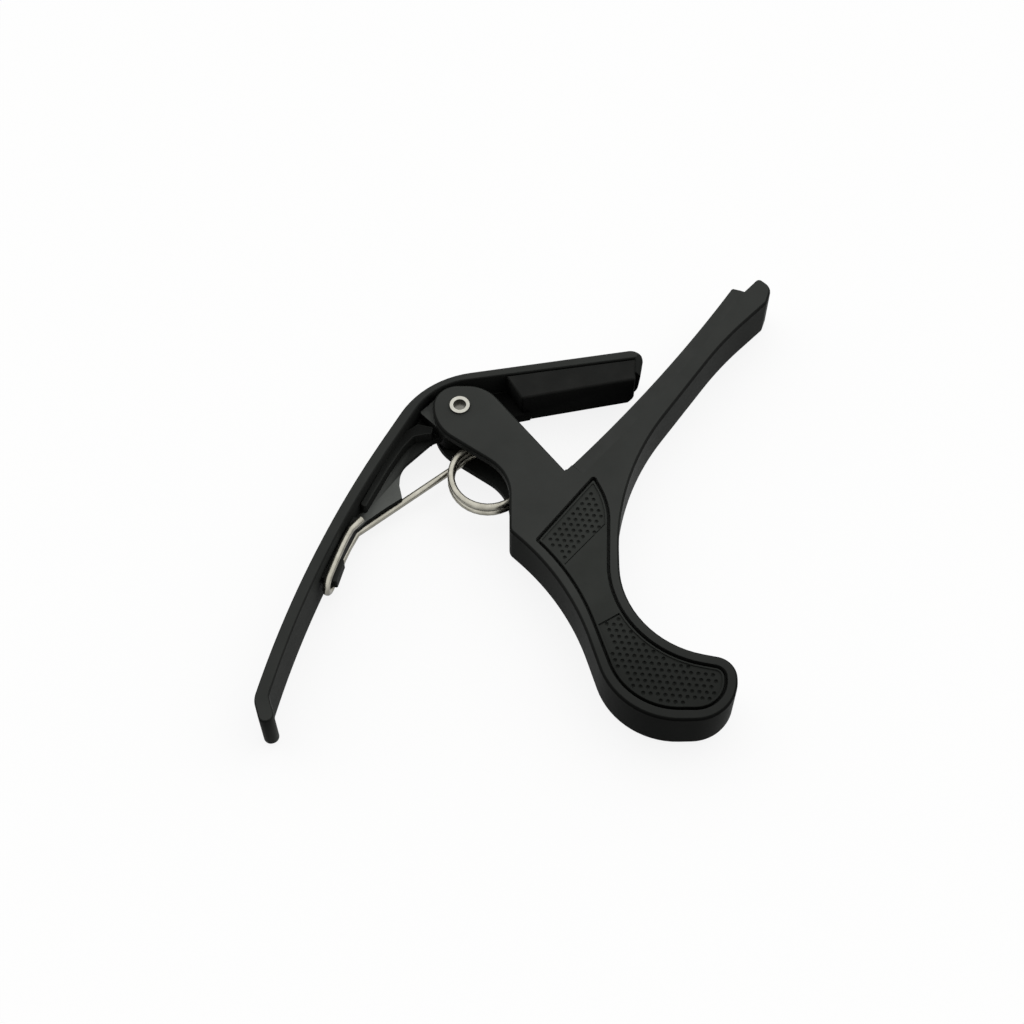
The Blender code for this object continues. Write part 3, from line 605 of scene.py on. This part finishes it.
def armShade(face, spot, normal):  # painted light and shade: paler low on the flare, on the lug's face and low on the toe, darker in its channel, on the ridge, on the strip's inner wall, high on the toe, on the lip and on the rims
    armPaintedShades = arm["armPaintedShades"]
    flat = face.normal.z > 0.9
    low, high = arm["stripSpan"]
    if flat and isLevel(spot.z, arm["flareSpan"][1]) and spot.y < arm["flareStart"]:
        if beyond(spot, arm["ridgeLine"]) > 0:
            return armPaintedShades["channel"]
        return armPaintedShades["flare"][0] if spot.y > arm["flarePale"] else armPaintedShades["flare"][1]
    if flat and isLevel(spot.z, arm["ridgeSpan"][1]):
        return armPaintedShades["ridge"][0] if spot.y > arm["ridgeBend"] else armPaintedShades["ridge"][1]
    if low < spot.y < high and spot.x < arm["stripSide"] and abs(face.normal.z) < 0.3 and face.normal.x > 0.3:
        return armPaintedShades["strip"]
    if flat and isLevel(spot.z, depth - lugLow):
        return armPaintedShades["lug"]
    if spot.y < arm["toeStart"] and abs(face.normal.z) < 0.5:
        return armPaintedShades["toe"][0] if spot.z > depth / 2 else armPaintedShades["toe"][1]
    if beyond((face.center - toWorld) / mm, arm["lipLine"]) < 0:
        return armPaintedShades["lip"]
    return armPaintedShades["rim"] * rimShade(face, arm["rim"])


armPiece = makeObject("clamp_casting", slabMesh(arm["flare"], *arm["flareSpan"]))
carve(armPiece, makeObject("web", slabMesh(arm["web"], *arm["webSpan"])), "UNION")
carve(armPiece, makeObject("ridge", slabMesh(arm["ridge"], *arm["ridgeSpan"], arm["ridgeRim"], 2)), "UNION")
carve(armPiece, makeObject("lug", slabMesh(arm["lug"], lugLow, depth - lugLow)), "UNION")
carve(armPiece, makeObject("saddle", slabMesh(arm["saddle"], *arm["saddleSpan"])), "UNION")
carve(armPiece, drumTool("bore", arm["boreRadius"], -depth, 2 * depth))
spineMesh = slabMesh(arm["spine"], 0.0, depth, arm["rim"], 4)
inner, outer = [Vector((*spot, 0.0)) for spot in arm["lipLine"]]
bmesh.ops.bisect_plane(spineMesh, geom=spineMesh.verts[:] + spineMesh.edges[:] + spineMesh.faces[:],
                       plane_co=inner, plane_no=(outer - inner).cross(Vector((0, 0, 1))))
spinePiece = makeObject("spine", spineMesh)
carve(spinePiece, tongueTool("tongue", 0.0), "INTERSECT", selfTest=True)  # else some runs lose the jaw's end
carve(armPiece, spinePiece, "UNION")
markShade(armPiece, armShade)
finishPiece(armPiece, armPaint, "clamp", "clamp_arm")


# Rubber block under the jaw plate

neckPad = {
    "corners": [(9.1, 7.45, 0.0), (35.2, 11.62, 0.0), (34.90, 6.50, 0.6), (12.25, 1.85, 0.6)],
    "span": (1.5, 9.75),
    "rim": 0.55,
    "endDraw": 0.05,
    "root": [(6.6, 6.45, 0.0), (14.0, 7.63, 0.0), (14.0, 1.75, 0.0), (8.75, 0.50, 0.3)],
    "rootSpan": (2.2, 4.6),
    # painted shade on the pad's plate-side edge and on its low root
    "plateShade": 1.5,
    "rootShade": 0.9,
}


def neckShade(face, spot, normal):  # painted shade: darker along the plate and on the low root
    if isSlanted(face) and face.normal.y > 0.2:
        return neckPad["plateShade"]
    return neckPad["rootShade"] if isLevel(spot.z, neckPad["rootSpan"][1]) else 0.0


neckPiece = makeObject("neck_pad_block", slabMesh(neckPad["corners"], *neckPad["span"], neckPad["rim"], 4))
carve(neckPiece, tongueTool("padEnd", neckPad["endDraw"]), "INTERSECT")
carve(neckPiece, makeObject("root", slabMesh(neckPad["root"], *neckPad["rootSpan"])), "UNION")
markShade(neckPiece, neckShade)
finishPiece(neckPiece, jawRubber, "clamp", "neck_pad")


# Wire spring from its hairpin foot to the short leg in the fork

spring = {
    "wire": 0.72,
    "coil": (5.5, -13.8, 7.1),
    "coilLow": 2.87,
    "coilHigh": 7.13,
    "startAngle": 140.0,
    "turns": 2.389,
    "tail": [(-18.45, -24.31), (-19.44, -25.44), (-20.43, -26.57)],
    "foot": [(-21.25, -28.45), (-22.00, -30.45), (-22.70, -32.55), (-23.35, -34.65), (-24.00, -36.75)],
    "strandRise": 2.15,
    "shortLeg": 12.5,
    "legStart": (-19.7, -25.1),
    "turnSteps": 36,
    "bendSteps": 10,
    "legSteps": 8,
    "endSteps": 5,
    # painted light and shade: how the wire's colour follows how far its surface faces up
    "shadeFrom": 0.78,
    "shadeGain": 1.4,
    "shadeMost": 1.35,
}


def springRoute():
    middle = depth / 2
    rise = spring["strandRise"]
    route = [Vector((x, y, middle + rise)) for x, y in spring["tail"] + spring["foot"]]
    end = Vector((*spring["foot"][-1], middle))
    run = (end - Vector((*spring["foot"][-2], middle))).normalized()
    for k in range(1, spring["bendSteps"]):
        turn = math.pi * k / spring["bendSteps"]
        route.append(end + run * (rise * math.sin(turn)) + Vector((0, 0, rise * math.cos(turn))))
    route += [Vector((x, y, middle - rise)) for x, y in reversed(spring["foot"])]
    x, y, radius = spring["coil"]
    low, high = spring["coilLow"], spring["coilHigh"]
    start = math.radians(spring["startAngle"])
    touch = Vector((x + radius * math.cos(start), y + radius * math.sin(start), low))
    leg = Vector((*spring["legStart"], middle - rise))
    route += [leg.lerp(touch, k / spring["legSteps"]) for k in range(spring["legSteps"])]
    steps = round(spring["turns"] * spring["turnSteps"])
    for k in range(steps + 1):
        turn = start - math.tau * spring["turns"] * k / steps
        climb = low + (high - low) * k / steps
        route.append(Vector((x + radius * math.cos(turn), y + radius * math.sin(turn), climb)))
    drop = Vector((0, -spring["shortLeg"] / spring["endSteps"], 0))
    route += [route[-1] + drop * k for k in range(1, spring["endSteps"] + 1)]
    return route


def wirePiece(name, route, radius):
    line = bpy.data.curves.new(name, "CURVE")
    line.dimensions = "3D"
    line.bevel_depth = radius * mm
    line.bevel_resolution = 4
    line.use_fill_caps = True
    spline = line.splines.new("POLY")
    spline.points.add(len(route) - 1)
    for knot, spot in zip(spline.points, route):
        knot.co = (*(spot * mm + toWorld), 1.0)
    drawn = bpy.data.objects.new(name + "_line", line)
    bpy.context.scene.collection.objects.link(drawn)
    bpy.context.view_layer.update()
    mesh = bpy.data.meshes.new_from_object(drawn.evaluated_get(bpy.context.evaluated_depsgraph_get()))
    bpy.data.objects.remove(drawn)
    bm = bmesh.new()
    bm.from_mesh(mesh)
    bmesh.ops.remove_doubles(bm, verts=bm.verts, dist=1e-6)
    bmesh.ops.recalc_face_normals(bm, faces=bm.faces)
    bm.to_mesh(mesh)
    bm.free()
    mesh.name = name
    made = bpy.data.objects.new(name, mesh)
    bpy.context.scene.collection.objects.link(made)
    return made


springPiece = wirePiece("spring_wire", springRoute(), spring["wire"])
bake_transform(springPiece)
# painted light and shade: the wire's upward faces are painted lighter, its sides and underside darker
markShade(springPiece, lambda face, spot, normal: min(
    spring["shadeMost"], spring["shadeGain"] * (spring["shadeFrom"] - normal.z)))
finishPiece(springPiece, nickelWire, None, "torsion_spring", 50)


# Tubular rivet

rivet = {
    "shank": 1.6,
    "bore": 1.20,
    "headRadius": 2.05,
    "holeFloor": 9.3,
    "headTop": 10.5,
    "seat": 10.02,
    "rearTop": 0.2,
    "rearSeat": 1.05,
    "roll": 0.30,
    "floorThickness": 1.0,
    # painted shade inside the tube, round the head's edge and on its face
    "tubeShade": (1.5, 1.15),
    "edgeShade": 1.45,
    "faceShade": 0.2,
    "shadeSlack": 0.02,
}


def rivetMesh():
    bm = bmesh.new()
    floorLow = rivet["holeFloor"] - rivet["floorThickness"]
    line = [(0.0, rivet["holeFloor"]), (rivet["bore"], rivet["holeFloor"]),
            (rivet["bore"], rivet["headTop"]), (rivet["headRadius"], rivet["headTop"]),
            (rivet["headRadius"], rivet["seat"]), (rivet["shank"], rivet["seat"]),
            (rivet["shank"], rivet["rearSeat"]), (rivet["headRadius"], rivet["rearSeat"]),
            (rivet["headRadius"], rivet["rearTop"]), (rivet["bore"], rivet["rearTop"]),
            (rivet["bore"], floorLow), (0.0, floorLow)]
    verts = [bm.verts.new((x, 0, z)) for x, z in line]
    edges = [bm.edges.new((verts[i - 1], verts[i])) for i in range(1, len(verts))]
    bmesh.ops.spin(bm, geom=verts + edges, cent=(0, 0, 0), axis=(0, 0, 1), angle=math.tau, steps=roundSteps,
                   use_merge=True, use_duplicate=False)
    bmesh.ops.remove_doubles(bm, verts=bm.verts, dist=0.001)
    bmesh.ops.recalc_face_normals(bm, faces=bm.faces)
    rolled = [e for e in flatEdges(bm) if e.verts[0].co.z in (rivet["headTop"], rivet["rearTop"])
              and e.calc_face_angle(0) > 1]
    roundEdges(bm, rolled, rivet["roll"], 5)
    return bm


def rivetShade(face, spot, normal):  # painted shade: darker inside the tube, round the head's edge and a little on its face
    reach = spot.xy.length
    wall, floor = rivet["tubeShade"]
    if reach < rivet["bore"] + rivet["shadeSlack"]:
        return wall if abs(face.normal.z) < 0.5 else floor
    return rivet["edgeShade"] if reach > rivet["headRadius"] - rivet["shadeSlack"] else rivet["faceShade"]


rivetPiece = makeObject("rivet_tube", rivetMesh())
markShade(rivetPiece, rivetShade)
finishPiece(rivetPiece, rivetNickel, "lever", "pivot_rivet", 50)


# Floor, light and camera

stage = {
    "floorSize": 3.0,
    "floorDrop": 0.0001,
    "floorColour": (0.14, 0.14, 0.14, 1.0),
    "floorSeen": (0.97, 0.97, 0.97, 1.0),
    "floorRough": 0.9,
    "floorSpecular": 0.1,
    "whiteShare": 0.87,
    "white": (1.0, 1.0, 1.0, 1.0),
    "lightColour": (1.0, 1.0, 0.99, 1.0),
    "frontLight": 0.02,
    "backLight": 1.75,
    "backSpan": (-0.45, 0.55),
    "rightLight": 0.50,
    "rightSpan": (0.1, 0.8),
    "lens": 63.28,
    "sensor": 36.0,
    "clipStart": 0.01,
    "elevation": 59.0,
    "distance": 342.0,
    "target": (10.3, -24.5, 10.0),
}


def seenNode(tree):  # 1 for what the camera sees, by itself or in metal or glass
    path = nodeOf(tree, "ShaderNodeLightPath")
    either = nodeOf(tree, "ShaderNodeMath", operation="MAXIMUM")
    seen = nodeOf(tree, "ShaderNodeMath", operation="MAXIMUM")
    tree.links.new(path.outputs["Is Glossy Ray"], either.inputs[0])
    tree.links.new(path.outputs["Is Transmission Ray"], either.inputs[1])
    tree.links.new(path.outputs["Is Camera Ray"], seen.inputs[0])
    tree.links.new(either.outputs["Value"], seen.inputs[1])
    return seen


def makeFloor():
    bm = bmesh.new()
    bmesh.ops.create_grid(bm, x_segments=1, y_segments=1, size=stage["floorSize"])
    bmesh.ops.translate(bm, verts=bm.verts, vec=(0, 0, -stage["floorDrop"]))
    mesh = bpy.data.meshes.new("studio_floor")
    bm.to_mesh(mesh)
    bm.free()
    floor = bpy.data.objects.new("studio_floor", mesh)
    bpy.context.scene.collection.objects.link(floor)
    made = bpy.data.materials.new("pale_floor")
    made.use_nodes = True
    tree = made.node_tree
    shader = tree.nodes["Principled BSDF"]
    shader.inputs["Roughness"].default_value = stage["floorRough"]
    shader.inputs["Specular IOR Level"].default_value = stage["floorSpecular"]
    shade = nodeOf(tree, "ShaderNodeMix", data_type="RGBA")
    shade.inputs["A"].default_value = stage["floorColour"]
    shade.inputs["B"].default_value = stage["floorSeen"]
    seen = seenNode(tree)
    share = nodeOf(tree, "ShaderNodeMath", operation="MULTIPLY")
    share.inputs[1].default_value = stage["whiteShare"]
    white = nodeOf(tree, "ShaderNodeEmission", Color=stage["white"], Strength=1.0)
    blend = nodeOf(tree, "ShaderNodeMixShader")
    tree.links.new(seen.outputs["Value"], share.inputs[0])
    tree.links.new(seen.outputs["Value"], shade.inputs["Factor"])
    tree.links.new(shade.outputs["Result"], shader.inputs["Base Color"])
    tree.links.new(share.outputs["Value"], blend.inputs["Fac"])
    tree.links.new(shader.outputs["BSDF"], blend.inputs[1])
    tree.links.new(white.outputs["Emission"], blend.inputs[2])
    tree.links.new(blend.outputs["Shader"], tree.nodes["Material Output"].inputs["Surface"])
    mesh.materials.append(made)


def makeLight():
    world = bpy.data.worlds.new("soft_studio")
    bpy.context.scene.world = world
    world.use_nodes = True
    tree = world.node_tree
    back = tree.nodes["Background"]
    back.inputs["Color"].default_value = stage["lightColour"]
    place = nodeOf(tree, "ShaderNodeTexCoord")
    split = nodeOf(tree, "ShaderNodeSeparateXYZ")
    fade = rangeNode(tree, stage["backSpan"], stage["frontLight"], stage["backLight"])
    side = rangeNode(tree, stage["rightSpan"], 0.0, stage["rightLight"])
    both = nodeOf(tree, "ShaderNodeMath", operation="ADD")
    plain = nodeOf(tree, "ShaderNodeBackground", Color=stage["white"], Strength=1.0)
    seen = seenNode(tree)
    blend = nodeOf(tree, "ShaderNodeMixShader")
    tree.links.new(place.outputs["Generated"], split.inputs["Vector"])
    tree.links.new(split.outputs["Y"], fade.inputs["Value"])
    tree.links.new(split.outputs["X"], side.inputs["Value"])
    tree.links.new(fade.outputs["Result"], both.inputs[0])
    tree.links.new(side.outputs["Result"], both.inputs[1])
    tree.links.new(both.outputs["Value"], back.inputs["Strength"])
    tree.links.new(seen.outputs["Value"], blend.inputs["Fac"])
    tree.links.new(back.outputs["Background"], blend.inputs[1])
    tree.links.new(plain.outputs["Background"], blend.inputs[2])
    tree.links.new(blend.outputs["Shader"], tree.nodes["World Output"].inputs["Surface"])


def makeCamera():
    lens = bpy.data.cameras.new("photo_camera")
    lens.lens = stage["lens"]
    lens.sensor_width = stage["sensor"]
    lens.clip_start = stage["clipStart"]
    tilt = math.radians(stage["elevation"])
    camera = bpy.data.objects.new("photo_camera", lens)
    target = toWorld + Vector(stage["target"]) * mm
    camera.location = target + Vector((0, -math.cos(tilt), math.sin(tilt))) * (stage["distance"] * mm)
    camera.rotation_euler = (math.pi / 2 - tilt, 0, 0)
    bpy.context.scene.collection.objects.link(camera)
    bpy.context.scene.camera = camera


makeFloor()
makeLight()
makeCamera()
bpy.context.scene.view_settings.view_transform = "Standard"
print("stage ready")
